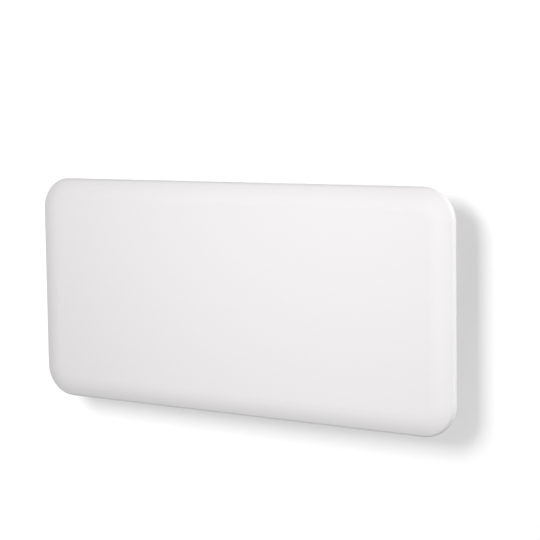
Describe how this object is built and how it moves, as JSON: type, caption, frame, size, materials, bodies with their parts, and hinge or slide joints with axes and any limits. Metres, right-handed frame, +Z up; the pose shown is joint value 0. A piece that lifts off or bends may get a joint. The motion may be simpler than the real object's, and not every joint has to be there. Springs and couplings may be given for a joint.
{
  "type": "wall-hung panel heater",
  "caption": "Wide white wall-hung panel heater: pillowed steel front shell over a vented casing with a finned element, side control unit and tilting wall bracket.",
  "frame": {"origin": "on the wall plane, at the centre of the wall bracket's four screw holes", "axes": "+X to the right as seen from the front, +Y into the wall, +Z up; the front faces -Y"},
  "size_m": [0.86, 0.0864, 0.42],
  "materials": {
    "shell_white": "satin powder coat",
    "casing_white": "satin powder coat",
    "grille_grey": "fine matt",
    "galvanised": "spangled zinc",
    "bright_steel": "turned",
    "aluminium": "mill finish",
    "ceramic": "unglazed",
    "cutout_body": "moulded",
    "wire_skin": "silicone",
    "housing_white": "fine texture",
    "fascia_dark": "piano gloss",
    "window_glass": "smoked",
    "display_dark": "moulded",
    "board_green": "solder mask",
    "radio_can": "tinned",
    "relay_blue": "moulded",
    "tact_black": "moulded",
    "button_grey": "fine matt",
    "switch_black": "moulded",
    "block_nylon": "moulded",
    "gland_black": "moulded",
    "buffer_rubber": "matt"
  },
  "bodies": {
    "bracket": {"wall_bracket": "galvanised", "bracket_buffers": "buffer_rubber", "latch_springs": "bright_steel", "latch_rivets": "aluminium"},
    "heater": {"front_panel": "shell_white", "rear_casing": "casing_white", "outlet_grille": "grille_grey", "inlet_grille": "grille_grey", "front_rails": "galvanised", "hangers": "galvanised", "element_brackets": "galvanised", "casing_screws": "bright_steel", "housing_screws": "bright_steel", "board_screws": "bright_steel", "pivot_rods": "bright_steel", "element_rod": "bright_steel", "element_terminals": "bright_steel", "element_fins": "aluminium", "heat_shield": "aluminium", "element_bushes": "ceramic", "thermal_cutout": "cutout_body", "lead_wires": "wire_skin", "control_housing": "housing_white", "room_sensor": "housing_white", "control_fascia": "fascia_dark", "display_window": "window_glass", "display_module": "display_dark", "control_board": "board_green", "wireless_module": "radio_can", "power_relay": "relay_blue", "tact_switches": "tact_black", "switch_body": "switch_black", "terminal_block": "block_nylon", "cord_gland": "gland_black", "gland_nut": "gland_black"},
    "power_button_body": {"power_button": "button_grey"},
    "plus_button_body": {"plus_button": "button_grey"},
    "minus_button_body": {"minus_button": "button_grey"},
    "mode_button_body": {"mode_button": "button_grey"},
    "switch_rocker_body": {"switch_rocker": "switch_black"}
  },
  "joints": [
    {"name": "heater_tilt", "type": "hinge", "parent": "bracket", "child": "heater", "pos_m": [0, -0.017, -0.15], "axis": [1, 0, 0], "range_deg": [0, 20], "deforming": ["latch_springs"]},
    {"name": "power_button_press", "type": "slide", "parent": "heater", "child": "power_button_body", "axis": [-1, 0, 0], "range_m": [0, 0.0012], "stiffness_N_per_m": 400},
    {"name": "plus_button_press", "type": "slide", "parent": "heater", "child": "plus_button_body", "axis": [-1, 0, 0], "range_m": [0, 0.0012], "stiffness_N_per_m": 400},
    {"name": "minus_button_press", "type": "slide", "parent": "heater", "child": "minus_button_body", "axis": [-1, 0, 0], "range_m": [0, 0.0012], "stiffness_N_per_m": 400},
    {"name": "mode_button_press", "type": "slide", "parent": "heater", "child": "mode_button_body", "axis": [-1, 0, 0], "range_m": [0, 0.0012], "stiffness_N_per_m": 400},
    {"name": "switch_rock", "type": "hinge", "parent": "heater", "child": "switch_rocker_body", "pos_m": [0.408, -0.047, 0.037], "axis": [0, 1, 0], "range_deg": [0, 20]}
  ]
}
